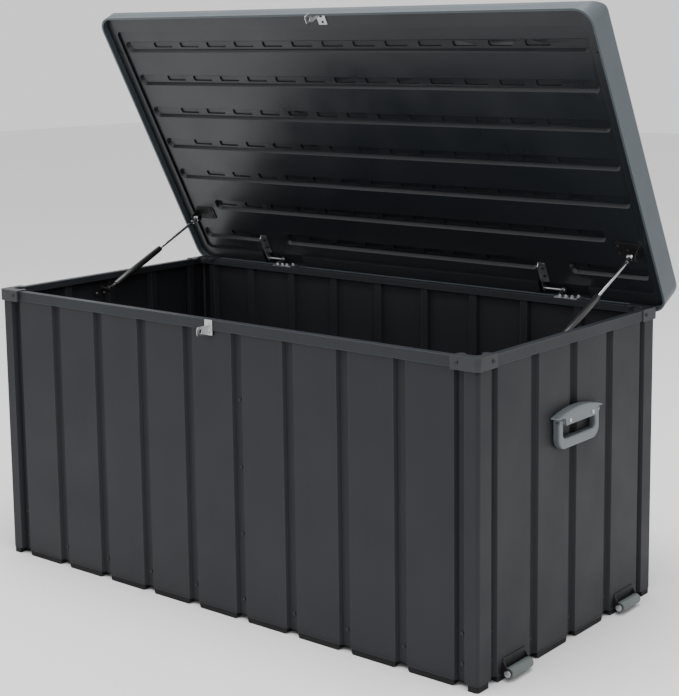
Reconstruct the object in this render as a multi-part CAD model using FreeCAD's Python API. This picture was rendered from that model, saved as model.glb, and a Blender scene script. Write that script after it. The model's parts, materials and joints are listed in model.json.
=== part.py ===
"""Deck storage box: corrugated steel walls on a footed base, a steel rim with moulded corners,
a moulded lid on two hinges with two gas struts, two drop handles, two rollers and a hasp.

Millimetres, +Z up.  The box is drawn centred on X = 0, Y = 0, with its front at -Y, and moved by
SHIFT_Y when it is exported.  The lid and what rides on it are drawn shut, then opened by LID_OPEN.
"""
import FreeCAD, Part
import math
import os

V = FreeCAD.Vector
X_AXIS, Y_AXIS, Z_AXIS = V(1, 0, 0), V(0, 1, 0), V(0, 0, 1)
SHIFT_Y = -23.62

# walls: flat planks with narrow grooves between them, folded from one sheet
HALF_X, HALF_Y = 682.0, 332.0
SHEET = 1.0
GROOVE_DEPTH = 9.0
CHAMFER = 6.0
FRONT_PITCH, FRONT_PLANKS, FRONT_PLANK = 142.0, 9, 112.0
SIDE_PITCH, SIDE_PLANKS, SIDE_PLANK = 143.0, 4, 113.0
FRONT_SEAM = 5
LAP = 16.0
FLANGE_GAP = 0.5
WALL_Z0, WALL_Z1 = 12.5, 640.5
SCREW_Z, SCREW_STEP = 46.0, 60.0
SEAM_SCREW_Z = (190.0, 335.0, 480.0)
END_SCREW_X, END_SCREW_Y = 8.0, 5.0

# corner posts
POST_X, POST_Y = 651.0, 292.5
POST_OUT_X, POST_OUT_Y = 682.0, 336.0
POST_RADIUS = 8.0
POST_LAP = 16.0

# base
BASE_TOP = 30.0
BASE_OUT = 12.5
BASE_WIDTH = 22.0
FOOT_INSET = 1.2
FOOT_ROUND = 6.0
CORNER_ARM = 58.0
CORNER_FOOT_GAP = 7.0
FLOOR_GROOVE = 5.0

# rim
RIM_Z0, RIM_Z1 = 621.0, 643.0
RIM_SHEET = 2.5
RIM_WIDTH = 16.5
RIM_LIP_Z = 628.0
CAP_Z0, CAP_Z1 = 619.0, 645.0
CAP_X, CAP_Y = 686.5, 342.0
CAP_RADIUS = 12.0
CAP_LENGTH = 64.0
CAP_HUMP = 9.0
CAP_SCREW_BACK, CAP_SCREW_Z = 50.0, 633.0

# lid, drawn shut
HINGE_Y, HINGE_Z = 362.0, 654.0
LID_OPEN = 62.0
LID_X = 706.0
LID_FRONT, LID_REAR = -355.0, 380.0
LID_CORNER = 40.0
LID_Z0, LID_Z1 = 634.0, 700.0
LID_EDGE = 8.0
LID_NOSE = 48.0
LID_SKIN = 2.5
LID_FIELD, LID_FIELD_INSET, FIELD_CORNER = 2.0, 54.0, 20.0
LIP = 5.0
LEDGE_Z = 649.0
PANEL_Z = 655.0
STEP_X, STEP_FRONT, STEP_REAR = 676.0, -309.0, 344.0
STEP_CORNER = 14.0
CHANNEL_ROWS, CHANNEL_PITCH = 7, 93.3
CHANNEL_FRONT = -278.0
CHANNEL_WIDTH, CHANNEL_FLOOR, CHANNEL_DEPTH = 30.5, 20.0, 8.0
CHANNEL_X, CHANNEL_SHORT_X = 668.0, 585.0
TROUGH_FLOOR = 6.0
DIMPLE_PITCH, DIMPLES = 90.8, 15
DIMPLE_X, DIMPLE_Y, DIMPLE_DEPTH = 62.0, 14.0, 3.5
LUG_Y = (-248.0, 247.0)

# hinges: offsets along X from the middle of each hinge pad
HINGE_X = 426.0
HINGE_PAD = 44.5
HINGE_PLATE = 2.5
HINGE_EYE = 7.0
ARM_X, LEAF_X, LEAF_LENGTH = -39.0, 11.0, 60.0
RECESS = (-51.0, 84.0)
RECESS_Z = HINGE_Z + 9.5
PIN_RADIUS = 3.0
RUNNING = 0.05
HINGE_BOLTS = ((12.0, 8.0), (28.0, 8.0), (44.0, 8.0), (52.0, 22.0))
NUT_RADIUS, NUT_HEIGHT = 4.6, 3.4
BOLT_RADIUS, BOLT_HEIGHT = 2.5, 5.0
ARM_WIDTH = 19.0
ARM_SCREWS = ((-28.0, 58.0), (-28.0, 36.0))

# gas struts, seen along X: the lid end when shut and the wall end
STRUT_X = 650.0
STRUT_LID_SHUT = (237.0, 634.0)
STRUT_WALL = (-31.0, 606.0)
SOCKET_RADIUS, SOCKET_HALF = 8.0, 7.0
BALL_RADIUS, STUD_RADIUS = 5.0, 3.0
ROD_RADIUS, TUBE_RADIUS = 3.5, 8.0
ROD_SHOWN = 133.0
END_LENGTH = 22.0
STRUT_SCREWS = ((612.0, 14.0), (612.0, -6.0), (634.0, 4.0))

# hasp: two fins that stand side by side below the lip when the lid is shut
FIN_BODY_X, FIN_LID_X = -14.0, -3.0
FIN_SHEET = 2.0
FIN_FRONT = -361.0
FIN_HOLE = (-350.0, 619.0)
FIN_HOLE_RADIUS = 4.5
HASP_WIDTH = 22.0
HASP_PLATE_Z = 610.0
HASP_SCREW_X, HASP_SCREW_Z = 13.0, (618.0, 636.0)
HASP_SCREW_RADIUS, HASP_SCREW_HEIGHT = 3.2, 0.5
LID_HASP_SCREW_Y = (-342.0, -328.0)

# handles
HANDLE_PIN_X, HANDLE_PIN_Z, HANDLE_PIN_RADIUS = 690.5, 473.0, 3.0
BRACKET_HALF, BRACKET_DEPTH = 87.0, 20.0
BRACKET_BOTTOM, BRACKET_CREST = 465.0, 495.0
BAIL_HALF, BAIL_ARM = 77.0, 15.0
BAIL_BOTTOM, BAIL_GRIP = 415.0, 22.0
BAIL_EYE = 7.5

# rollers
ROLLER_X, ROLLER_Z, ROLLER_RADIUS, ROLLER_LENGTH = 695.0, 16.0, 11.0, 72.0
ROLLER_Y = 1.5 * SIDE_PITCH
AXLE_RADIUS = 4.0

parts = {}


def box(x0, x1, y0, y1, z0, z1):
    """A block between two corners, given in any order."""
    low = V(min(x0, x1), min(y0, y1), min(z0, z1))
    return Part.makeBox(abs(x1 - x0), abs(y1 - y0), abs(z1 - z0), low)


def rod(start, end, radius):
    """A round bar from start to end."""
    line = end - start
    return Part.makeCylinder(radius, line.Length, start, line)


def prism(points, along):
    """A straight-sided outline, swept along a vector."""
    return Part.Face(Part.makePolygon(points + points[:1])).extrude(along)


def fuse(shapes):
    """One solid from several."""
    first, rest = shapes[0], shapes[1:]
    return first.fuse(rest).removeSplitter() if rest else first


def mirror_x(shape):
    return shape.mirror(V(0, 0, 0), X_AXIS)


def mirror_y(shape):
    return shape.mirror(V(0, 0, 0), Y_AXIS)


def rounded_wire(x0, x1, y0, y1, radius, z):
    """A rectangle with round corners, as a wire at height z."""
    r = radius
    k = r * (1 - math.sqrt(0.5))
    corners = (
        (V(x1 - r, y0, z), V(x1 - k, y0 + k, z), V(x1, y0 + r, z)),
        (V(x1, y1 - r, z), V(x1 - k, y1 - k, z), V(x1 - r, y1, z)),
        (V(x0 + r, y1, z), V(x0 + k, y1 - k, z), V(x0, y1 - r, z)),
        (V(x0, y0 + r, z), V(x0 + k, y0 + k, z), V(x0 + r, y0, z)),
    )
    edges = []
    for i, arc in enumerate(corners):
        edges.append(Part.Arc(*arc).toShape())
        following = corners[(i + 1) % 4][0]
        if arc[2].distanceToPoint(following) > 1e-6:
            edges.append(Part.makeLine(arc[2], following))
    return Part.Wire(edges)


def rounded_block(x0, x1, y0, y1, z0, z1, radius):
    """A block with round upright edges."""
    return Part.Face(rounded_wire(x0, x1, y0, y1, radius, z0)).extrude(V(0, 0, z1 - z0))


def thickened(points, thickness):
    """The closed outline of a folded sheet: an open line and its mitred offset to the left."""
    inner = []
    for i, here in enumerate(points):
        before = points[i] - points[i - 1] if i else points[1] - points[0]
        after = points[i + 1] - points[i] if i + 1 < len(points) else before
        n0 = V(-before.y, before.x, 0).normalize()
        n1 = V(-after.y, after.x, 0).normalize()
        miter = (n0 + n1).normalize()
        inner.append(here + miter * (thickness / miter.dot(n0)))
    return points + inner[::-1]


def plank_line(centres, width, start, start_depth, end, end_depth):
    """The outer line of a corrugated wall, as (length along the wall, depth) pairs."""
    half = width / 2
    line = [(start, start_depth)]
    for i, centre in enumerate(centres):
        left = start_depth if i == 0 else GROOVE_DEPTH
        right = end_depth if i == len(centres) - 1 else GROOVE_DEPTH
        line += [(centre - half - CHAMFER, left), (centre - half, 0)]
        line += [(centre + half, 0), (centre + half + CHAMFER, right)]
    return line + [(end, end_depth)]


def front_wall(centres, start, start_depth, end, end_depth):
    """A front panel from its plank centres and its two flanges."""
    line = plank_line(centres, FRONT_PLANK, start, start_depth, end, end_depth)
    points = [V(s, depth - HALF_Y, WALL_Z0) for s, depth in line]
    return prism(thickened(points, SHEET), V(0, 0, WALL_Z1 - WALL_Z0))


def walls():
    """Front and rear in two lapped panels each, and one panel for each end."""
    centres = [(i - (FRONT_PLANKS - 1) / 2) * FRONT_PITCH for i in range(FRONT_PLANKS)]
    seam = (centres[FRONT_SEAM - 1] + centres[FRONT_SEAM]) / 2
    flange = POST_X - CHAMFER - FLANGE_GAP
    under = GROOVE_DEPTH + SHEET
    left = front_wall(centres[:FRONT_SEAM], -flange, GROOVE_DEPTH, seam + LAP / 2, GROOVE_DEPTH)
    right = front_wall(centres[FRONT_SEAM:], seam - LAP / 2, under, flange, GROOVE_DEPTH)
    parts["wall_front_left"] = left
    parts["wall_front_right"] = right
    parts["wall_rear_left"] = mirror_y(left)
    parts["wall_rear_right"] = mirror_y(right)

    side_centres = [(i - (SIDE_PLANKS - 1) / 2) * SIDE_PITCH for i in range(SIDE_PLANKS)]
    end = POST_Y - CHAMFER - FLANGE_GAP
    line = plank_line(side_centres, SIDE_PLANK, -end, GROOVE_DEPTH, end, GROOVE_DEPTH)
    points = [V(HALF_X - depth, s, WALL_Z0) for s, depth in line]
    side = prism(thickened(points, SHEET), V(0, 0, WALL_Z1 - WALL_Z0))
    parts["wall_right"] = side
    parts["wall_left"] = mirror_x(side)


def four_corners(name, shape):
    """One corner piece drawn at the front right, and its three mirror images."""
    parts[name + "_front_right"] = shape
    parts[name + "_front_left"] = mirror_x(shape)
    parts[name + "_rear_right"] = mirror_y(shape)
    parts[name + "_rear_left"] = mirror_y(mirror_x(shape))


def posts():
    """A rounded corner, folded down into the groove on each side, with a flange behind each wall."""
    flange_x = HALF_X - GROOVE_DEPTH - SHEET
    flange_y = HALF_Y - GROOVE_DEPTH - SHEET
    fold_x, fold_y = POST_X - CHAMFER, POST_Y - CHAMFER
    line = [V(fold_x - POST_LAP, -flange_y, WALL_Z0), V(fold_x, -flange_y, WALL_Z0),
            V(POST_X, -POST_OUT_Y, WALL_Z0), V(POST_OUT_X, -POST_OUT_Y, WALL_Z0),
            V(POST_OUT_X, -POST_Y, WALL_Z0), V(flange_x, -fold_y, WALL_Z0),
            V(flange_x, POST_LAP - fold_y, WALL_Z0)]
    post = prism(thickened(line, SHEET), V(0, 0, WALL_Z1 - WALL_Z0))
    for inset in (0, SHEET):
        x, y = POST_OUT_X - inset, inset - POST_OUT_Y
        corner = [e for e in post.Edges if math.hypot(e.CenterOfMass.x - x, e.CenterOfMass.y - y) < 0.1]
        post = post.makeFillet(POST_RADIUS - inset, [e for e in corner if e.Length > 100])
    four_corners("post", post)


def foot(x0, x1, y0, y1):
    """One foot under a plank, with round ends at the ground."""
    block = box(x0, x1, y0, y1, 0, WALL_Z0)
    ends = [e for e in block.Edges if e.CenterOfMass.z < 0.1 and abs(e.CenterOfMass.y - (y0 + y1) / 2) < 0.1]
    return block.makeFillet(FOOT_ROUND, ends)


def base_rail(half_wall, length, centres, plank):
    """A rail along X behind a wall at -Y, with one foot under each plank."""
    outer = half_wall - BASE_OUT
    bar = box(-length, length, -outer, -outer + BASE_WIDTH, 6, BASE_TOP)
    face = half_wall - FOOT_INSET
    half = plank / 2 - FOOT_INSET
    feet = [foot(c - half, c + half, -face, -outer + BASE_WIDTH) for c in centres]
    return fuse([bar] + feet)


def corner_block():
    """The front right corner of the base: two arms and a foot that follows the round post."""
    x_out, y_out = HALF_X - BASE_OUT, HALF_Y - BASE_OUT
    arm_x = box(HALF_X - CORNER_ARM, x_out, -y_out, -y_out + BASE_WIDTH, 6, BASE_TOP)
    arm_y = box(x_out - BASE_WIDTH, x_out, -y_out, CORNER_ARM - HALF_Y, 6, BASE_TOP)
    edge = FOOT_INSET
    pad = box(POST_X + CORNER_FOOT_GAP, POST_OUT_X - edge, edge - POST_OUT_Y, -POST_Y - CORNER_FOOT_GAP,
              0, WALL_Z0)
    inside = box(x_out - BASE_WIDTH, POST_X + 12, -y_out, -POST_Y - 2, 2, 20)
    plan = rounded_block(0, POST_OUT_X - edge, edge - POST_OUT_Y, 0, 0, WALL_Z0, POST_RADIUS - edge)
    return fuse([arm_x, arm_y, pad.common(plan), inside])


def base():
    """Four footed rails, four corner blocks and a grooved floor."""
    front_centres = [(i - (FRONT_PLANKS - 1) / 2) * FRONT_PITCH for i in range(FRONT_PLANKS)]
    side_centres = [(i - (SIDE_PLANKS - 1) / 2) * SIDE_PITCH for i in range(SIDE_PLANKS)]
    front = base_rail(HALF_Y, HALF_X - CORNER_ARM, front_centres, FRONT_PLANK)
    side = base_rail(HALF_X, HALF_Y - CORNER_ARM, side_centres, SIDE_PLANK)
    side.rotate(V(0, 0, 0), Z_AXIS, 90)
    parts["base_rail_front"] = front
    parts["base_rail_rear"] = mirror_y(front)
    parts["base_rail_right"] = side
    parts["base_rail_left"] = mirror_x(side)
    four_corners("base_corner", corner_block())

    edge_x, edge_y = HALF_X - BASE_OUT - 1, HALF_Y - BASE_OUT - 1
    line = [(-edge_x, 0)]
    for i in range(FRONT_PLANKS - 1):
        centre = (i - (FRONT_PLANKS - 2) / 2) * FRONT_PITCH
        line += [(centre - 12, 0), (centre - 8, FLOOR_GROOVE)]
        line += [(centre + 8, FLOOR_GROOVE), (centre + 12, 0)]
    line.append((edge_x, 0))
    outline = thickened([V(x, rise, 0) for x, rise in line], SHEET)
    section = [V(p.x, -edge_y, BASE_TOP + p.y) for p in outline]
    parts["floor_panel"] = prism(section, V(0, 2 * edge_y, 0))


def rail_section(half_wall):
    """The rim channel in section, as (distance from the box centre, height) pairs."""
    out = half_wall + RIM_SHEET
    inner = out - RIM_WIDTH
    top, under = RIM_Z1, RIM_Z1 - RIM_SHEET
    return [
        (out, RIM_Z0), (out, top), (inner, top), (inner, RIM_LIP_Z),
        (inner + RIM_SHEET, RIM_LIP_Z), (inner + RIM_SHEET, under), (half_wall, under), (half_wall, RIM_Z0),
    ]


def cap():
    """A moulded corner over the post, with a wavy inner edge."""
    inner_x, inner_y = HALF_X + RIM_SHEET - RIM_WIDTH, HALF_Y + RIM_SHEET - RIM_WIDTH
    reach = 4 * CAP_LENGTH
    back_x, back_y = POST_OUT_X - reach, reach - POST_OUT_Y
    corner = box(CAP_X - CAP_LENGTH, CAP_X, -CAP_Y, CAP_LENGTH - CAP_Y, CAP_Z0, CAP_Z1)
    whole = rounded_block(back_x, CAP_X, -CAP_Y, back_y, CAP_Z0, CAP_Z1, CAP_RADIUS).common(corner)
    beneath = rounded_block(back_x, POST_OUT_X, -POST_OUT_Y, back_y, CAP_Z0, WALL_Z1, POST_RADIUS)
    opening = rounded_block(back_x, inner_x, -inner_y, back_y, CAP_Z0, CAP_Z1, CAP_RADIUS)
    lip_x, lip_y = inner_x + RIM_SHEET, inner_y + RIM_SHEET
    lip = rounded_block(back_x, lip_x, -lip_y, back_y, RIM_LIP_Z, WALL_Z1, CAP_RADIUS)
    lip = lip.cut(opening).common(corner)
    hump = CAP_LENGTH - CAP_HUMP
    low, high = V(0, 0, WALL_Z1), V(0, 0, CAP_Z1)
    centres = (V(CAP_X - hump, -inner_y, 0), V(inner_x, hump - CAP_Y, 0))
    humps = [rod(centre + low, centre + high, CAP_HUMP) for centre in centres]
    return fuse([whole.cut(beneath).cut(opening), lip] + humps)


def rim():
    """Four folded rails between four moulded corners."""
    far_x, far_y = CAP_X - CAP_LENGTH, CAP_Y - CAP_LENGTH
    front = prism([V(-far_x, -d, z) for d, z in rail_section(HALF_Y)], V(2 * far_x, 0, 0))
    side = prism([V(d, -far_y, z) for d, z in rail_section(HALF_X)], V(0, 2 * far_y, 0))
    parts["rim_rail_front"] = front
    parts["rim_rail_rear"] = mirror_y(front)
    parts["rim_rail_right"] = side
    parts["rim_rail_left"] = mirror_x(side)
    four_corners("rim_cap", cap())


def screw(at, out, radius=4.0, height=2.0):
    """A pan head screw standing out of a face, with its edge rounded and a cross cut in it."""
    head = rod(at, at + out * height, radius)
    outer = [e for e in head.Edges if e.Closed and (e.CenterOfMass - at).dot(out) > height / 2]
    head = head.makeFillet(height * 0.45, outer)
    across = V(out.y, out.z, out.x)
    depth, reach, half = height * 0.55, radius * 0.6, radius * 0.12
    for side in (across, out.cross(across)):
        other = out.cross(side)
        start = at + out * depth - side * reach - other * half
        far, wide = start + side * (2 * reach), other * (2 * half)
        head = head.cut(prism([start, far, far + wide, start + wide], out * height))
    return head


def groove_screw(along, sign, z, across_front):
    """A screw on the floor of a groove, in a front or rear wall or in an end wall."""
    if across_front:
        return screw(V(along, sign * (HALF_Y - GROOVE_DEPTH), z), V(0, sign, 0))
    return screw(V(sign * (HALF_X - GROOVE_DEPTH), along, z), V(sign, 0, 0))


def screws():
    """Screws in the grooves, and on the rim for its corners and the hasp."""
    front = [(i - FRONT_PLANKS / 2) * FRONT_PITCH for i in range(1, FRONT_PLANKS)]
    side = [(i - SIDE_PLANKS / 2) * SIDE_PITCH for i in range(1, SIDE_PLANKS)]
    front_end, side_end = POST_X - CHAMFER - END_SCREW_X, POST_Y - CHAMFER - END_SCREW_Y
    seam = (FRONT_SEAM - FRONT_PLANKS / 2) * FRONT_PITCH
    heads = []
    for sign in (-1, 1):
        for centres, end, across_front in ((front, front_end, True), (side, side_end, False)):
            places = [(along, SCREW_Z) for along in centres + [-end, end]]
            places += [(-end, SCREW_Z + SCREW_STEP), (end, SCREW_Z + SCREW_STEP)]
            heads += [groove_screw(along, sign, z, across_front) for along, z in places]
        heads += [groove_screw(seam, sign, z, True) for z in SEAM_SCREW_Z]
    parts["wall_screws"] = Part.makeCompound(heads)

    heads = []
    for sx in (-1, 1):
        for sy in (-1, 1):
            x, y = sx * CAP_X, sy * CAP_Y
            heads.append(screw(V(x - sx * CAP_SCREW_BACK, y, CAP_SCREW_Z), V(0, sy, 0)))
            heads.append(screw(V(x, y - sy * CAP_SCREW_BACK, CAP_SCREW_Z), V(sx, 0, 0)))
    parts["rim_screws"] = Part.makeCompound(heads)
    hasp_face = HALF_Y + RIM_SHEET + FIN_SHEET
    x, out = FIN_BODY_X + HASP_SCREW_X, V(0, -1, 0)
    heads = [screw(V(x, -hasp_face, z), out, HASP_SCREW_RADIUS, HASP_SCREW_HEIGHT) for z in HASP_SCREW_Z]
    parts["hasp_screws"] = Part.makeCompound(heads)


def fin_hole(x):
    """The padlock hole, cut along X through a fin."""
    y, z = FIN_HOLE
    return rod(V(x - 1, y, z), V(x + FIN_SHEET + 1, y, z), FIN_HOLE_RADIUS)


def body_hasp():
    """A plate over the front of the rim with a fin for a padlock."""
    face = -(HALF_Y + RIM_SHEET)
    y, z = FIN_HOLE
    plate = box(FIN_BODY_X, FIN_BODY_X + HASP_WIDTH, face - FIN_SHEET, face, HASP_PLATE_Z, RIM_Z1)
    fin = box(FIN_BODY_X, FIN_BODY_X + FIN_SHEET, FIN_FRONT, face, z - 10, z + 10)
    outer = [e for e in fin.Edges if abs(e.CenterOfMass.y - FIN_FRONT) < 0.1 and e.Length < 3]
    parts["body_hasp"] = fuse([plate, fin.makeFillet(7, outer)]).cut(fin_hole(FIN_BODY_X))


def hinge_bases():
    """A leaf bolted on the rear rim, with one upright tab and eye at its left end."""
    bolts = []
    z0, z1 = RIM_Z1, RIM_Z1 + HINGE_PLATE
    inner, outer = HALF_Y + RIM_SHEET - RIM_WIDTH, HINGE_Y - 10
    for side, sign in (("left", -1), ("right", 1)):
        x = sign * HINGE_X + LEAF_X
        leaf = rounded_block(x, x + LEAF_LENGTH, inner, outer, z0, z1, 3)
        tab = prism([V(x, outer - 22, z0), V(x, outer, z0), V(x, HINGE_Y + 6, HINGE_Z - 3.5),
                     V(x, HINGE_Y, HINGE_Z), V(x, HINGE_Y - 6, HINGE_Z + 3.5), V(x, outer - 22, z1 + 1)],
                    V(HINGE_PLATE, 0, 0))
        eye = rod(V(x, HINGE_Y, HINGE_Z), V(x + HINGE_PLATE, HINGE_Y, HINGE_Z), HINGE_EYE)
        hole = rod(V(x - 1, HINGE_Y, HINGE_Z), V(x + 4, HINGE_Y, HINGE_Z), PIN_RADIUS + RUNNING)
        parts["hinge_base_" + side] = fuse([leaf, tab, eye]).cut(hole)
        for along, back in HINGE_BOLTS:
            at = V(x + along, inner + back, z1)
            turns = [math.radians(60 * i) for i in range(6)]
            corners = [V(NUT_RADIUS * math.cos(a), NUT_RADIUS * math.sin(a), 0) for a in turns]
            nut = prism([at + corner for corner in corners], V(0, 0, NUT_HEIGHT))
            bolts.append(fuse([nut, rod(at, at + V(0, 0, BOLT_HEIGHT), BOLT_RADIUS)]))
    parts["hinge_bolts"] = Part.makeCompound(bolts)


def strut_wall_brackets():
    """A plate inside each end wall, with a stud for the strut's lower end."""
    wall = HALF_X - SHEET
    plate_x = wall - HINGE_PLATE
    y, z = STRUT_WALL
    plate = rounded_block(y - 25, y + 15, z - 19, z + 11, plate_x, wall, 5)
    plate.rotate(V(0, 0, 0), V(1, 1, 1), 120)
    stud = rod(V(STRUT_X + TUBE_RADIUS + 0.4, y, z), V(plate_x, y, z), STUD_RADIUS)
    collar = rod(V(plate_x - 3, y, z), V(plate_x, y, z), 6)
    heads = [screw(V(plate_x, y - 5 + d, z - 12), V(-1, 0, 0), 3.5, 1.6) for d in (-12, 12)]
    bracket = fuse([plate, stud, collar])
    parts["strut_wall_bracket_right"] = bracket
    parts["strut_wall_bracket_left"] = mirror_x(bracket)
    parts["strut_wall_screws"] = Part.makeCompound(heads + [mirror_x(h) for h in heads])


def handle_bracket():
    """The top plate of a drop handle: an arched crest over a block that carries the two pins."""
    x0, depth = HALF_X, V(BRACKET_DEPTH, 0, 0)
    under = HANDLE_PIN_Z + BAIL_EYE + 0.5
    inside = BAIL_HALF - BAIL_ARM - 0.5
    left, right = V(x0, -BRACKET_HALF, under), V(x0, BRACKET_HALF, under)
    arch = Part.Arc(right, V(x0, 0, BRACKET_CREST), left).toShape()
    line = [left, V(x0, -inside, under), V(x0, -inside + 4, BRACKET_BOTTOM),
            V(x0, inside - 4, BRACKET_BOTTOM), V(x0, inside, under), right]
    edges = [Part.makeLine(a, b) for a, b in zip(line, line[1:])] + [arch]
    block = Part.Face(Part.Wire(edges)).extrude(depth)
    face = [e for e in block.Edges if e.CenterOfMass.x > x0 + BRACKET_DEPTH - 0.1]
    block = block.makeFillet(4, [e for e in face if e.CenterOfMass.z > under + 1])
    lugs = [box(x0, x0 + 16, s * (inside - 8), s * inside, HANDLE_PIN_Z - 6, under) for s in (-1, 1)]
    pins = []
    for s in (-1, 1):
        start = V(HANDLE_PIN_X, s * (inside - 4), HANDLE_PIN_Z)
        pins.append(rod(start, V(HANDLE_PIN_X, s * (BAIL_HALF - 3), HANDLE_PIN_Z), HANDLE_PIN_RADIUS))
    return fuse([block] + lugs + pins)


def handle_bail():
    """The hanging grip: two arms on the pins and a round-cornered bar between them."""
    x0, x1 = HANDLE_PIN_X - 7, HANDLE_PIN_X + 7
    inside = BAIL_HALF - BAIL_ARM
    outer = rounded_block(-BAIL_HALF, BAIL_HALF, BAIL_BOTTOM, HANDLE_PIN_Z + 60, x0, x1, 24)
    inner = rounded_block(-inside, inside, BAIL_BOTTOM + BAIL_GRIP, HANDLE_PIN_Z + 80, x0 - 1, x1 + 1, 11)
    loop = outer.cut(inner).common(box(-100, 100, 300, HANDLE_PIN_Z, x0 - 1, x1 + 1))
    loop.rotate(V(0, 0, 0), V(1, 1, 1), 120)
    face = [e for e in loop.Edges if abs(e.CenterOfMass.x - x1) < 0.1 and e.CenterOfMass.z < HANDLE_PIN_Z - 1]
    loop = loop.makeFillet(4, face)
    pivot, along = V(HANDLE_PIN_X, 0, HANDLE_PIN_Z), V(0, BAIL_HALF, 0)
    ends = [rod(pivot + along * (s * inside / BAIL_HALF), pivot + along * s, BAIL_EYE) for s in (-1, 1)]
    bore = rod(pivot - along * 1.02, pivot + along * 1.02, HANDLE_PIN_RADIUS + RUNNING)
    return fuse([loop] + ends).cut(bore)


def handles():
    bracket, bail = handle_bracket(), handle_bail()
    heads = [screw(V(HALF_X + BRACKET_DEPTH, y, HANDLE_PIN_Z), V(1, 0, 0), 4.2, 1.6) for y in (-44, 44)]
    parts["handle_bracket_right"] = bracket
    parts["handle_bracket_left"] = mirror_x(bracket)
    parts["handle_bail_right"] = bail
    parts["handle_bail_left"] = mirror_x(bail)
    parts["handle_screws"] = Part.makeCompound(heads + [mirror_x(h) for h in heads])


def rollers():
    """Two rollers low on the right end, each on an axle between two cheeks."""
    half = ROLLER_LENGTH / 2
    axles = []
    for place, y in (("front", -ROLLER_Y), ("rear", ROLLER_Y)):
        back = box(HALF_X, HALF_X + 2, y - half - 3, y + half + 3, 14, 44)
        cheeks = []
        for low in (y - half - 3, y + half + 1):
            plate = prism([V(HALF_X, low, 40), V(HALF_X, low, 14), V(ROLLER_X - 4, low, 9),
                           V(ROLLER_X, low, 9), V(ROLLER_X, low, 23), V(ROLLER_X - 4, low, 28)], V(0, 2, 0))
            eye = rod(V(ROLLER_X, low, ROLLER_Z), V(ROLLER_X, low + 2, ROLLER_Z), 7)
            cheeks += [plate, eye]
        bracket = fuse([back] + cheeks)
        hole = rod(V(ROLLER_X, y - half - 4, ROLLER_Z), V(ROLLER_X, y + half + 4, ROLLER_Z), AXLE_RADIUS)
        parts["roller_bracket_" + place] = bracket.cut(hole)
        barrel = rod(V(ROLLER_X, y - half, ROLLER_Z), V(ROLLER_X, y + half, ROLLER_Z), ROLLER_RADIUS)
        barrel = barrel.makeChamfer(1.5, [e for e in barrel.Edges if e.Closed])
        bore = rod(V(ROLLER_X, y - half, ROLLER_Z), V(ROLLER_X, y + half, ROLLER_Z), AXLE_RADIUS + RUNNING)
        parts["roller_" + place] = barrel.cut(bore)
        shank = rod(V(ROLLER_X, y - half - 3, ROLLER_Z), V(ROLLER_X, y + half + 3, ROLLER_Z), AXLE_RADIUS)
        head = rod(V(ROLLER_X, y - half - 7, ROLLER_Z), V(ROLLER_X, y - half - 3, ROLLER_Z), 6.5)
        end = rod(V(ROLLER_X, y + half + 3, ROLLER_Z), V(ROLLER_X, y + half + 6, ROLLER_Z), 6)
        axles.append(fuse([shank, head, end]))
    parts["roller_axles"] = Part.makeCompound(axles)


def lid_plan(inset, z0, z1):
    """A slab with the lid's outline, moved inward by inset."""
    return rounded_block(inset - LID_X, LID_X - inset, LID_FRONT + inset, LID_REAR - inset, z0, z1,
                         max(LID_CORNER - inset, FIELD_CORNER))


def nose_waste(inset):
    """What the round front of the lid takes off a slab that is moved inward by inset."""
    front, top = LID_FRONT + inset, LID_Z1 - inset
    radius = LID_NOSE - inset
    k = radius * (1 - math.sqrt(0.5))
    x = -LID_X - 1
    low, high = V(x, front, top - radius), V(x, front + radius, top)
    arc = Part.Arc(low, V(x, front + k, top - k), high).toShape()
    above, corner = V(x, front + radius, top + 1), V(x, front - 1, top + 1)
    before = V(x, front - 1, top - radius)
    outline = (high, above, corner, before, low)
    lines = [Part.makeLine(a, b) for a, b in zip(outline, outline[1:])]
    return Part.Face(Part.Wire([arc] + lines)).extrude(V(2 * LID_X + 2, 0, 0))


def lid_shell():
    """The outer skin: a tray upside down with a round front, a thick lip and a raised field on top."""
    s = LID_SKIN
    outer = lid_plan(0, LID_Z0, LID_Z1)
    outer = outer.makeFillet(LID_EDGE, [e for e in outer.Edges if e.CenterOfMass.z > LID_Z1 - 0.1])
    outer = outer.cut(nose_waste(0))
    inner = lid_plan(s, LID_Z0 - 1, LID_Z1 - s)
    inner = inner.makeFillet(LID_EDGE - s, [e for e in inner.Edges if e.CenterOfMass.z > LID_Z1 - s - 0.1])
    inner = inner.cut(nose_waste(s))
    lip = lid_plan(s, LID_Z0, LEDGE_Z).cut(lid_plan(LIP, LID_Z0, LEDGE_Z))
    top = LID_Z1 + LID_FIELD
    field = lid_plan(LID_FIELD_INSET, LID_Z1 - s, top)
    field = field.makeChamfer(LID_FIELD, [e for e in field.Edges if e.CenterOfMass.z > top - 0.1])
    hollow = lid_plan(LID_FIELD_INSET + s, LID_Z1 - s - 1, top - s)
    return fuse([outer.cut(inner), lip, field]).cut(hollow)


def channel_runs():
    """Each channel as (front edge in Y, left end, right end), cut short at the hinge and strut pads."""
    runs = []
    for row in range(CHANNEL_ROWS):
        y = CHANNEL_FRONT + row * CHANNEL_PITCH
        if row == CHANNEL_ROWS - 1:
            near, far = HINGE_X - HINGE_PAD, HINGE_X + HINGE_PAD
            runs += [(y, -CHANNEL_X, -far), (y, -near, near), (y, far, CHANNEL_X)]
        elif row == CHANNEL_ROWS - 2:
            runs.append((y, -CHANNEL_SHORT_X, CHANNEL_SHORT_X))
        else:
            runs.append((y, -CHANNEL_X, CHANNEL_X))
    return runs


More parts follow.
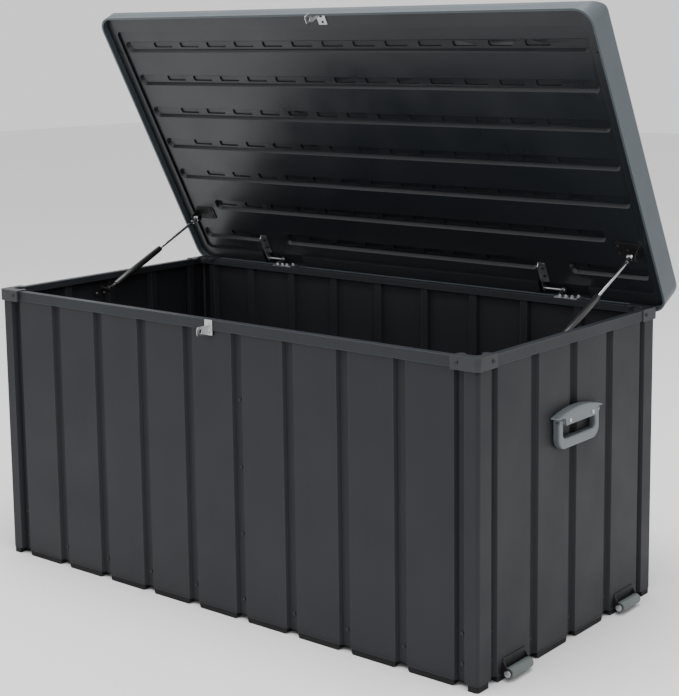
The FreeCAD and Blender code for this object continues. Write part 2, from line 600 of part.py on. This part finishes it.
def lid_liner():
    """The inner skin: a ledge all round, a recessed panel, long channels and dimples in each."""
    s = LID_SKIN
    ledge = lid_plan(s, LEDGE_Z, LEDGE_Z + s)
    pocket = rounded_block(-STEP_X, STEP_X, STEP_FRONT, STEP_REAR, LEDGE_Z, PANEL_Z, STEP_CORNER)
    tray = rounded_block(-STEP_X - s, STEP_X + s, STEP_FRONT - s, STEP_REAR + s, LEDGE_Z, PANEL_Z + s,
                         STEP_CORNER + s)
    shapes = [ledge, tray]
    cuts = [pocket]
    narrow = (CHANNEL_WIDTH - CHANNEL_FLOOR) / 2
    floor_z = PANEL_Z + CHANNEL_DEPTH
    for y, x0, x1 in channel_runs():
        y1 = y + CHANNEL_WIDTH
        shapes.append(rounded_block(x0 - 2, x1 + 2, y - 2, y1 + 2, PANEL_Z, floor_z + TROUGH_FLOOR, 12))
        mouth = rounded_wire(x0, x1, y, y1, 12, PANEL_Z)
        deep = rounded_wire(x0 + narrow, x1 - narrow, y + narrow, y1 - narrow, 8, floor_z)
        cuts.append(Part.makeLoft([mouth, deep], True, True))
        for i in range(DIMPLES):
            x = (i - (DIMPLES - 1) / 2) * DIMPLE_PITCH
            if x - DIMPLE_X / 2 < x0 + narrow or x + DIMPLE_X / 2 > x1 - narrow:
                continue
            y0 = y + narrow + 1
            cuts.append(rounded_block(x - DIMPLE_X / 2, x + DIMPLE_X / 2, y0, y0 + DIMPLE_Y,
                                      floor_z - 1, floor_z + DIMPLE_DEPTH, 5))
    for centre in (-HINGE_X, HINGE_X):
        x0, x1 = centre + RECESS[0], centre + RECESS[1]
        shapes.append(box(x0 - 2, x1 + 2, STEP_REAR - 2, LID_REAR - LIP + 1.5, LEDGE_Z, RECESS_Z + 2))
        cuts.append(box(x0, x1, STEP_REAR - 0.5, LID_REAR - LIP, LEDGE_Z - 1, RECESS_Z))
    for sign in (-1, 1):
        for y in LUG_Y:
            shapes.append(box(sign * 684, sign * 698, y - 2, y + 2, LEDGE_Z - 1.8, LEDGE_Z + 1))
    return fuse(shapes).cut(cuts)


def lid_hasp():
    """A plate under the lid's front ledge with a fin that hangs down in front of the rim."""
    x = FIN_LID_X
    hole_y, hole_z = FIN_HOLE
    inner, outer = LID_FRONT + LIP + 1, -(HALF_Y + RIM_SHEET + 4)
    plate = box(x, x + HASP_WIDTH + 2, inner, STEP_FRONT - 12, LEDGE_Z - FIN_SHEET, LEDGE_Z)
    low = hole_z - 10
    fin = prism([V(x, inner, LEDGE_Z), V(x, inner, LID_Z0 - 3), V(x, FIN_FRONT, LID_Z0 - 6),
                 V(x, FIN_FRONT, low), V(x, outer, low), V(x, outer, LEDGE_Z)], V(FIN_SHEET, 0, 0))
    fin = fin.makeFillet(6, [e for e in fin.Edges if e.CenterOfMass.z < low + 1 and e.Length < 3])
    return fuse([plate, fin]).cut(fin_hole(x))


def hinge_arm(centre):
    """A flange screwed under the lid and an arm beside it that reaches back to the pin."""
    x, top = centre + ARM_X, PANEL_Z
    flange = rounded_block(x, x + ARM_WIDTH, HINGE_Y - 70, STEP_REAR - 1, top - HINGE_PLATE, top, 3)
    arm = prism([V(x, HINGE_Y - 70, top), V(x, HINGE_Y - 64, top - 8), V(x, HINGE_Y - 12, top - 8.5),
                 V(x, HINGE_Y, HINGE_Z - HINGE_EYE), V(x, HINGE_Y, HINGE_Z + HINGE_EYE),
                 V(x, STEP_REAR - 1, top)], V(HINGE_PLATE, 0, 0))
    eye = rod(V(x, HINGE_Y, HINGE_Z), V(x + HINGE_PLATE, HINGE_Y, HINGE_Z), HINGE_EYE)
    hole = rod(V(x - 1, HINGE_Y, HINGE_Z), V(x + 4, HINGE_Y, HINGE_Z), PIN_RADIUS)
    return fuse([flange, arm, eye]).cut(hole)


def hinge_pin(centre):
    """A plain pin through the arm and the tab, with a flat head at each end."""
    a = V(centre + ARM_X, HINGE_Y, HINGE_Z)
    b = V(centre + LEAF_X + HINGE_PLATE + 0.5, HINGE_Y, HINGE_Z)
    return fuse([rod(a, b, PIN_RADIUS), rod(a - V(2, 0, 0), a, 4.5), rod(b, b + V(2.5, 0, 0), 4.5)])


def strut_lid_bracket():
    """A plate under the lid with a flange that carries a ball stud."""
    y, z = STRUT_LID_SHUT
    plate = rounded_block(602, 664.5, y - 22, y + 13, PANEL_Z - HINGE_PLATE, PANEL_Z, 6)
    flange = prism([V(662, y - 15, PANEL_Z - 1), V(662, y - 7, z - 7), V(662, y + 7, z - 7),
                    V(662, y + 12, PANEL_Z - 1)], V(HINGE_PLATE, 0, 0))
    ball = Part.makeSphere(BALL_RADIUS, V(STRUT_X, y, z))
    stud = rod(V(STRUT_X, y, z), V(662, y, z), STUD_RADIUS)
    return fuse([plate, flange, ball, stud])


def strut():
    """The rod with its ball socket, and the tube with its lower end, drawn along the open line."""
    shut = V(STRUT_X, *STRUT_LID_SHUT)
    turn = FreeCAD.Rotation(X_AXIS, -LID_OPEN)
    hinge = V(STRUT_X, HINGE_Y, HINGE_Z)
    top = hinge + turn.multVec(shut - hinge)
    low = V(STRUT_X, *STRUT_WALL)
    length = (low - top).Length
    line = (low - top).normalize()
    out = V(SOCKET_HALF, 0, 0)
    cavity = rod(top - out + V(1.5, 0, 0), top + out + V(1, 0, 0), BALL_RADIUS + RUNNING)
    neck = rod(top, top + line * END_LENGTH, 5)
    socket = fuse([rod(top - out, top + out, SOCKET_RADIUS), neck]).cut(cavity)
    collar = top + line * (END_LENGTH + ROD_SHOWN)
    rod_part = fuse([socket, rod(top + line * (SOCKET_RADIUS + 2), collar + line * 12, ROD_RADIUS)])

    foot_at = top + line * (length - END_LENGTH)
    tube = fuse([rod(collar, collar + line * 8, TUBE_RADIUS - 0.6),
                 rod(collar + line * 8, foot_at, TUBE_RADIUS),
                 rod(foot_at, low, 5),
                 rod(low - out, low + out, SOCKET_RADIUS - 0.5)])
    bore_length = length - 2 * END_LENGTH - ROD_SHOWN - 6
    return rod_part, tube.cut(rod(collar, collar + line * bore_length, ROD_RADIUS + RUNNING))


def opened(shape):
    """Turns a shape that is drawn shut to the open lid."""
    shape = shape.copy()
    shape.rotate(V(0, HINGE_Y, HINGE_Z), X_AXIS, -LID_OPEN)
    return shape


def lid():
    """Everything that rides on the lid, opened together."""
    shut = {"lid_shell": lid_shell(), "lid_liner": lid_liner(), "lid_hasp": lid_hasp()}
    down = V(0, 0, -1)
    below = PANEL_Z - HINGE_PLATE
    hasp_z = LEDGE_Z - FIN_SHEET
    heads = [screw(V(FIN_LID_X + HASP_SCREW_X, y, hasp_z), down, HASP_SCREW_RADIUS, HASP_SCREW_HEIGHT)
             for y in LID_HASP_SCREW_Y]
    pins = []
    y = STRUT_LID_SHUT[0]
    bracket = strut_lid_bracket()
    for side, sign in (("left", -1), ("right", 1)):
        centre = sign * HINGE_X
        shut["hinge_arm_" + side] = hinge_arm(centre)
        shut["strut_lid_bracket_" + side] = bracket if sign > 0 else mirror_x(bracket)
        pins.append(hinge_pin(centre))
        for x, back in ARM_SCREWS:
            heads.append(screw(V(centre + x, HINGE_Y - back, below), down, 3.6, 2))
        for x, back in STRUT_SCREWS:
            heads.append(screw(V(sign * x, y - back, below), down, 3.5, 1.6))
    shut["hinge_pins"] = Part.makeCompound(pins)
    shut["lid_screws"] = Part.makeCompound(heads)
    for name, shape in shut.items():
        parts[name] = opened(shape)


def struts():
    rod_part, tube = strut()
    parts["strut_rod_right"] = rod_part
    parts["strut_rod_left"] = mirror_x(rod_part)
    parts["strut_tube_right"] = tube
    parts["strut_tube_left"] = mirror_x(tube)


def main():
    os.makedirs("parts", exist_ok=True)
    for build in (base, walls, posts, rim, screws, body_hasp, hinge_bases, strut_wall_brackets,
                  handles, rollers, lid, struts):
        build()
    for name, shape in parts.items():
        shape.translate(V(0, SHIFT_Y, 0))
        if not shape.isValid():
            print("NOT VALID", name)
        shape.exportStep("parts/" + name + ".step")
    whole = Part.makeCompound(list(parts.values())).BoundBox
    print(len(parts), "nodes; box", [round(v, 2) for v in (whole.XMin, whole.XMax, whole.YMin, whole.YMax,
                                                            whole.ZMin, whole.ZMax)])


main()
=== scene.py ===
"""Looks for the deck storage box: finishes for every CAD piece, small formed details that the CAD
leaves out, a plain floor, soft light and the camera.  Metres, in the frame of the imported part."""

import json
import math

import bmesh
import bpy
from mathutils import Matrix, Vector


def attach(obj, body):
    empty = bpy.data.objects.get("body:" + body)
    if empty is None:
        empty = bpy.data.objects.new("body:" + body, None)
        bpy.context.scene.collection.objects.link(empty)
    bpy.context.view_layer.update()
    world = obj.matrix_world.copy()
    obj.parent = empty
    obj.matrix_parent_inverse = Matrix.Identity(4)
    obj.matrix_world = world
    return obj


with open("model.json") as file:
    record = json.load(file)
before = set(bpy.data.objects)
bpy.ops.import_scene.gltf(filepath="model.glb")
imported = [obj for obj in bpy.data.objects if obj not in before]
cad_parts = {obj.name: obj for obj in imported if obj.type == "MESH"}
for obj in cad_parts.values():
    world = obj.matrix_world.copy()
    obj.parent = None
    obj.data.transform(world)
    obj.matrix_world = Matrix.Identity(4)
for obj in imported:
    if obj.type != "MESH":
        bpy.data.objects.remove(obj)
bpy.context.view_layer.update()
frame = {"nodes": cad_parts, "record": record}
nodes = frame["nodes"]

# camera
CAMERA_PLACE = (2.225, -2.6015, 1.221)
CAMERA_HEADING, CAMERA_PITCH, CAMERA_ROLL = 38.11, -8.26, -0.47
CAMERA_LENS, CAMERA_SHIFT = 80.78, (-0.0658, -0.1290)

# finishes, as linear colours
STEEL = (0.0170, 0.0175, 0.0208)
RIM = (0.0190, 0.0215, 0.0250)
BASE = (0.0070, 0.0070, 0.0080)
LID = (0.0640, 0.0780, 0.0880)
# painted shade: the liner's colour is the lid resin's, about five times darker, for the underside of the
# open lid
LINER_IN_SHADE = (0.0125, 0.0152, 0.0180)
ZINC = (0.560, 0.570, 0.580)
BLACK = (0.012, 0.012, 0.013)
CHROME = (0.420, 0.430, 0.440)
HANDLE = (0.105, 0.120, 0.130)
ROLLER = (0.095, 0.110, 0.110)
FLOOR_PANEL = (0.018, 0.018, 0.019)
SCREW = (0.016, 0.016, 0.017)
STAGE = (0.850, 0.850, 0.850)
STAIN = (0.340, 0.310, 0.260)

# widths and relief depths of the finishes
# the edge widths set how wide the painted edge highlights are
POWDER_EDGE, POWDER_GRAIN = 0.0020, 0.00003
MOULDED_EDGE, MOULDED_WAVES = 0.0018, 0.0003
PLATED_GRAIN = 0.00001
# how far the painted shade reaches into the wall grooves and the liner's dimples
HOLLOW_SHADE_REACH = 0.03
DIMPLE_SHADE_REACH = 0.012

# shader settings, and the colour sockets of the Mix node
HOLLOW_SHADE_SAMPLES = 8
COAT_ROUGHNESS = 0.25
SMOOTHEST = 0.02
MIX_FROM, MIX_TO, MIX_RESULT = 6, 7, 2

# formed details
EDGE, EDGE_SEGMENTS, EDGE_ANGLE = 0.0005, 2, 40
HEM_RADIUS = 0.0011
HEM_LIFT = 0.0012
HEM_SIDES = 12
HEM_TIP = 0.3
WELD = 0.00002

# studio
STAGE_SIZE = 30.0
WORLD_STRENGTH = 1.05
LIGHT_TARGET = (0, 0, 0.5)


class Finish:
    """A procedural material: a Principled shader and the nodes that vary it over the surface."""

    def __init__(self, name, color, roughness, metallic=0.0, coat=0.0, shine=0.5):
        self.material = bpy.data.materials.new(name)
        self.material.use_nodes = True
        self.tree = self.material.node_tree
        self.shader = self.tree.nodes["Principled BSDF"]
        self.shader.inputs["Metallic"].default_value = metallic
        self.shader.inputs["Specular IOR Level"].default_value = shine
        self.shader.inputs["Coat Weight"].default_value = coat
        self.shader.inputs["Coat Roughness"].default_value = COAT_ROUGHNESS
        self.place = self.tree.nodes.new("ShaderNodeTexCoord").outputs["Object"]
        rgb = self.tree.nodes.new("ShaderNodeRGB")
        rgb.outputs[0].default_value = (*color, 1.0)
        self.color = rgb.outputs[0]
        self.roughness = roughness
        self.height = None

    def link(self, source, target):
        self.tree.links.new(source, target)

    def stretched(self, scale):
        """The surface coordinates, stretched by a factor along each axis."""
        node = self.tree.nodes.new("ShaderNodeMapping")
        node.inputs["Scale"].default_value = scale
        self.link(self.place, node.inputs["Vector"])
        return node.outputs[0]

    def noise(self, scale, detail=3.0, stretch=(1, 1, 1)):
        """Noise with about scale features to the metre, from 0 to 1."""
        node = self.tree.nodes.new("ShaderNodeTexNoise")
        node.inputs["Scale"].default_value = scale
        node.inputs["Detail"].default_value = detail
        self.link(self.stretched(stretch), node.inputs["Vector"])
        return node.outputs["Fac"]

    def ramp(self, value, low, high, start=0.0, end=1.0):
        """Maps low..high to start..end, and holds the ends."""
        node = self.tree.nodes.new("ShaderNodeMapRange")
        for name, number in (("From Min", low), ("From Max", high), ("To Min", start), ("To Max", end)):
            node.inputs[name].default_value = number
        self.link(value, node.inputs["Value"])
        return node.outputs[0]

    def math(self, operation, a, b):
        node = self.tree.nodes.new("ShaderNodeMath")
        node.operation = operation
        for socket, value in zip(node.inputs, (a, b)):
            if isinstance(value, (int, float)):
                socket.default_value = value
            else:
                self.link(value, socket)
        return node.outputs[0]

    def tint(self, amount, color):
        """Blends the colour so far towards another by an amount that varies over the surface."""
        node = self.tree.nodes.new("ShaderNodeMix")
        node.data_type = "RGBA"
        self.link(amount, node.inputs["Factor"])
        self.link(self.color, node.inputs[MIX_FROM])
        node.inputs[MIX_TO].default_value = (*color, 1.0)
        self.color = node.outputs[MIX_RESULT]

    def raise_by(self, height, depth):
        """Adds a relief of this depth in metres."""
        relief = self.math("MULTIPLY", height, depth)
        self.height = relief if self.height is None else self.math("ADD", self.height, relief)

    def edges(self, radius):
        """1 on outer and inner edges, 0 on the flat between them."""
        bevel = self.tree.nodes.new("ShaderNodeBevel")
        bevel.inputs["Radius"].default_value = radius
        normal = self.tree.nodes.new("ShaderNodeNewGeometry").outputs["Normal"]
        dot = self.tree.nodes.new("ShaderNodeVectorMath")
        dot.operation = "DOT_PRODUCT"
        self.link(bevel.outputs[0], dot.inputs[0])
        self.link(normal, dot.inputs[1])
        flat, turned = 0.995, 0.80
        return self.ramp(dot.outputs["Value"], flat, turned)

    def paint_hollow_shade(self, reach, strength, color):
        """Paints shade into grooves and corners: blends towards a colour where little light reaches, as
        far in as the reach.
        """
        shelter = self.tree.nodes.new("ShaderNodeAmbientOcclusion")
        shelter.samples = HOLLOW_SHADE_SAMPLES
        shelter.inputs["Distance"].default_value = reach
        open_air, enclosed = 0.95, 0.45
        amount = self.ramp(shelter.outputs["AO"], open_air, enclosed, end=strength)
        self.tint(amount, color)

    def done(self, spread=0.06, wear_scale=9.0):
        """Joins colour, roughness and relief to the shader."""
        self.link(self.color, self.shader.inputs["Base Color"])
        wear = self.noise(wear_scale, 5.0)
        low, high = max(self.roughness - spread, SMOOTHEST), self.roughness + spread
        self.link(self.ramp(wear, 0.3, 0.7, low, high), self.shader.inputs["Roughness"])
        if self.height is not None:
            bump = self.tree.nodes.new("ShaderNodeBump")
            bump.inputs["Distance"].default_value = 1.0
            self.link(self.height, bump.inputs["Height"])
            self.link(bump.outputs[0], self.shader.inputs["Normal"])
        return self.material


def shade(color, factor):
    return tuple(channel * factor for channel in color)


def powder_coat(name, color, waves=0.0004, hollow_shade=0.0):
    """Powder-coated sheet: fine orange peel, slow waves in the sheet, faint streaks, painted highlights
    along its edges and, where asked, painted shade in its grooves.
    """
    finish = Finish(name, color, 0.50, shine=0.22)
    clouds = finish.noise(5.0)
    finish.tint(finish.ramp(clouds, 0.35, 0.75, end=0.5), shade(color, 1.22))
    streaks = finish.noise(60.0, 4.0, (1, 1, 0.05))
    finish.tint(finish.ramp(streaks, 0.5, 0.8, end=0.3), shade(color, 0.78))
    speckle = finish.noise(900.0, 2.0)
    finish.tint(finish.ramp(speckle, 0.58, 0.75, end=0.35), shade(color, 1.7))
    # painted highlight: the edges lightened towards five times the colour, as if they caught the light
    painted_edge_highlight = finish.math("MULTIPLY", finish.edges(POWDER_EDGE), 0.80)
    finish.tint(painted_edge_highlight, shade(color, 5.0))
    # painted shade: grooves and corners blended towards a quarter of the colour
    if hollow_shade:
        finish.paint_hollow_shade(HOLLOW_SHADE_REACH, hollow_shade, shade(color, 0.25))
    finish.raise_by(finish.noise(1100.0, 2.0), POWDER_GRAIN)
    finish.raise_by(finish.noise(4.0, 1.0), waves)
    return finish.done()


def moulded(name, color, roughness, grain=0.00005, coat=0.0, shine=0.4, hollow_shade=0.0):
    """Injection-moulded resin: leather-like grain, flow marks, painted highlights along its edges and,
    where asked, painted shade in its dimples.
    """
    finish = Finish(name, color, roughness, coat=coat, shine=shine)
    swirls = finish.noise(3.0, 5.0, (1, 2.2, 1))
    finish.tint(finish.ramp(swirls, 0.35, 0.75, end=0.25), shade(color, 1.35))
    flow_marks = finish.noise(24.0, 6.0)
    finish.tint(finish.ramp(flow_marks, 0.55, 0.8, end=0.25), shade(color, 0.72))
    # painted highlight: the edges lightened towards three times the colour
    edge_highlight_paint = finish.math("MULTIPLY", finish.edges(MOULDED_EDGE), 0.60)
    finish.tint(edge_highlight_paint, shade(color, 3.0))
    # painted shade: dimples and channels blended towards a quarter of the colour
    if hollow_shade:
        finish.paint_hollow_shade(DIMPLE_SHADE_REACH, hollow_shade, shade(color, 0.25))
    finish.raise_by(finish.noise(1400.0, 2.0), grain)
    finish.raise_by(finish.noise(6.0, 1.0), MOULDED_WAVES)
    return finish.done(spread=0.07)


def plated(name, color, roughness, spangle=0.35, brushed=(1, 1, 1)):
    """Bright plated steel: cloudy zinc spangle or the fine lines of a drawn bar."""
    finish = Finish(name, color, roughness, metallic=1.0)
    flakes = finish.noise(180.0, 4.0)
    finish.tint(finish.ramp(flakes, 0.4, 0.7, end=spangle), shade(color, 0.62))
    stains = finish.noise(30.0, 5.0)
    finish.tint(finish.ramp(stains, 0.6, 0.8, end=0.3), STAIN)
    finish.raise_by(finish.noise(700.0, 2.0, brushed), PLATED_GRAIN)
    return finish.done(spread=0.08, wear_scale=40.0)


def finishes():
    """One material for each slot of the record."""
    return {
        # the wall steel and the liner carry painted shade in their grooves and dimples
        "wall_steel": powder_coat("wall_steel", STEEL, hollow_shade=0.8),
        "floor_steel": powder_coat("floor_steel", FLOOR_PANEL),
        "rim_steel": powder_coat("rim_steel", RIM, waves=0.0001),
        "cap_resin": moulded("cap_resin", RIM, 0.48),
        "base_resin": moulded("base_resin", BASE, 0.62, shine=0.2),
        "lid_resin": moulded("lid_resin", LID, 0.42, grain=0.00003),
        # painted shade: the liner is the lid's resin, coloured darker for the shaded underside
        "liner_resin": moulded("liner_resin", LINER_IN_SHADE, 0.34, grain=0.00003, shine=0.5, hollow_shade=0.8),
        "zinc": plated("zinc", ZINC, 0.34),
        "screw_painted": powder_coat("screw_painted", SCREW, waves=0.0),
        "bracket_black": powder_coat("bracket_black", BLACK, waves=0.0),
        "strut_paint": moulded("strut_paint", BLACK, 0.30, grain=0.00001, coat=0.3),
        "strut_chrome": plated("strut_chrome", CHROME, 0.12, spangle=0.08, brushed=(1, 0.1, 0.1)),
        "handle_resin": moulded("handle_resin", HANDLE, 0.36, grain=0.00002, coat=0.2),
        "roller_resin": moulded("roller_resin", ROLLER, 0.45, grain=0.00002),
    }


def soften(obj):
    """Rounds the sharp edges of a CAD mesh, so that they catch the light."""
    weld = obj.modifiers.new("weld", "WELD")
    weld.merge_threshold = WELD
    bevel = obj.modifiers.new("edge", "BEVEL")
    bevel.width = EDGE
    bevel.segments = EDGE_SEGMENTS
    bevel.limit_method = "ANGLE"
    bevel.angle_limit = math.radians(EDGE_ANGLE)
    bevel.harden_normals = True


def dress(looks):
    """Gives each CAD node its slot's finish."""
    for part in frame["record"]["subparts"]:
        obj = nodes[part["node"]]
        obj.data.materials.clear()
        obj.data.materials.append(looks[part["material_slot"]])


def bottom_lines(obj, axis, sign):
    """Where the outermost flats of a folded sheet meet its lower edge, as intervals along the wall."""
    side = 1 - axis
    points = [obj.matrix_world @ v.co for v in obj.data.vertices]
    face = sign * max(sign * p[axis] for p in points)
    low = min(p.z for p in points)
    flat = sorted({round(p[side], 5) for p in points if abs(p[axis] - face) < WELD and p.z < low + WELD})
    return face, low, list(zip(flat[::2], flat[1::2]))


def hem(name, axis, face, low, start, end, sign):
    """A thin rolled bead along the lower edge of one flat, tapered off at each end."""
    mesh = bmesh.new()
    rings = []
    stations = ((start + HEM_RADIUS, HEM_TIP), (start + 2 * HEM_RADIUS, 1.0),
                (end - 2 * HEM_RADIUS, 1.0), (end - HEM_RADIUS, HEM_TIP))
    for along, size in stations:
        ring = []
        for step in range(HEM_SIDES):
            turn = 2 * math.pi * step / HEM_SIDES
            place = [0.0, 0.0, low + HEM_LIFT + size * HEM_RADIUS * math.sin(turn)]
            place[axis] = face + sign * size * HEM_RADIUS * math.cos(turn)
            place[1 - axis] = along
            ring.append(mesh.verts.new(place))
        rings.append(ring)
    for ring, following in zip(rings, rings[1:]):
        for i in range(HEM_SIDES):
            k = (i + 1) % HEM_SIDES
            mesh.faces.new((ring[i], ring[k], following[k], following[i]))
    mesh.faces.new(rings[0][::-1])
    mesh.faces.new(rings[-1])
    bmesh.ops.recalc_face_normals(mesh, faces=mesh.faces)
    data = bpy.data.meshes.new(name)
    mesh.to_mesh(data)
    mesh.free()
    data.shade_smooth()
    bead = bpy.data.objects.new(name, data)
    bpy.context.collection.objects.link(bead)
    return bead


def hems(steel):
    """A bead under every plank of the six wall panels."""
    panels = {"wall_front_left": (1, -1), "wall_front_right": (1, -1), "wall_rear_left": (1, 1),
              "wall_rear_right": (1, 1), "wall_left": (0, -1), "wall_right": (0, 1)}
    for name, (axis, sign) in panels.items():
        face, low, flats = bottom_lines(nodes[name], axis, sign)
        for i, (start, end) in enumerate(flats):
            bead_name = "hem_%s_%d" % (name.removeprefix("wall_"), i + 1)
            bead = hem(bead_name, axis, face, low, start, end, sign)
            bead.data.materials.append(steel)
            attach(bead, "box")


def stage():
    """A plain pale floor."""
    bpy.ops.mesh.primitive_plane_add(size=STAGE_SIZE)
    floor = bpy.context.object
    floor.name = "studio_floor"
    finish = Finish("studio_floor", STAGE, roughness=0.75)
    finish.tint(finish.ramp(finish.noise(1.5), 0.3, 0.7, end=0.3), shade(STAGE, 0.96))
    floor.data.materials.append(finish.done())


def area_light(name, place, size, power):
    """A rectangular panel of light, aimed at the box."""
    data = bpy.data.lights.new(name, "AREA")
    data.shape = "RECTANGLE"
    data.size, data.size_y = size
    data.energy = power
    light = bpy.data.objects.new(name, data)
    light.location = place
    light.rotation_euler = (Vector(LIGHT_TARGET) - Vector(place)).to_track_quat("-Z", "Y").to_euler()
    bpy.context.collection.objects.link(light)


def lights():
    """A strong panel overhead, two faint ones at the front and side, and an even white sky."""
    area_light("sky_panel", place=(0.4, -0.6, 4.2), size=(3.2, 2.4), power=210.0)
    area_light("front_fill", place=(-1.5, -4.5, 1.9), size=(3.5, 2.5), power=8.0)
    area_light("side_fill", place=(4.5, 0.8, 1.8), size=(3.0, 2.2), power=2.0)
    world = bpy.data.worlds.new("studio")
    bpy.context.scene.world = world
    world.use_nodes = True
    world.node_tree.nodes["Background"].inputs["Color"].default_value = (1.0, 1.0, 1.0, 1.0)
    world.node_tree.nodes["Background"].inputs["Strength"].default_value = WORLD_STRENGTH


def camera():
    """The eye, turned, tilted and rolled, with a small lens shift."""
    data = bpy.data.cameras.new("camera")
    data.sensor_fit = "HORIZONTAL"
    data.lens = CAMERA_LENS
    data.shift_x, data.shift_y = CAMERA_SHIFT
    eye = bpy.data.objects.new("camera", data)
    turn = Matrix.Rotation(math.radians(CAMERA_HEADING), 4, "Z")
    tilt = Matrix.Rotation(math.radians(90 + CAMERA_PITCH), 4, "X")
    roll = Matrix.Rotation(math.radians(CAMERA_ROLL), 4, "Z")
    eye.matrix_world = Matrix.Translation(CAMERA_PLACE) @ turn @ tilt @ roll
    bpy.context.collection.objects.link(eye)
    bpy.context.scene.camera = eye


looks = finishes()
dress(looks)
hems(looks["wall_steel"])
for name, node in nodes.items():
    # the lid's shell keeps its edges as drawn, so that its broad flat top shades evenly
    if name != "lid_shell":
        soften(node)
stage()
lights()
camera()
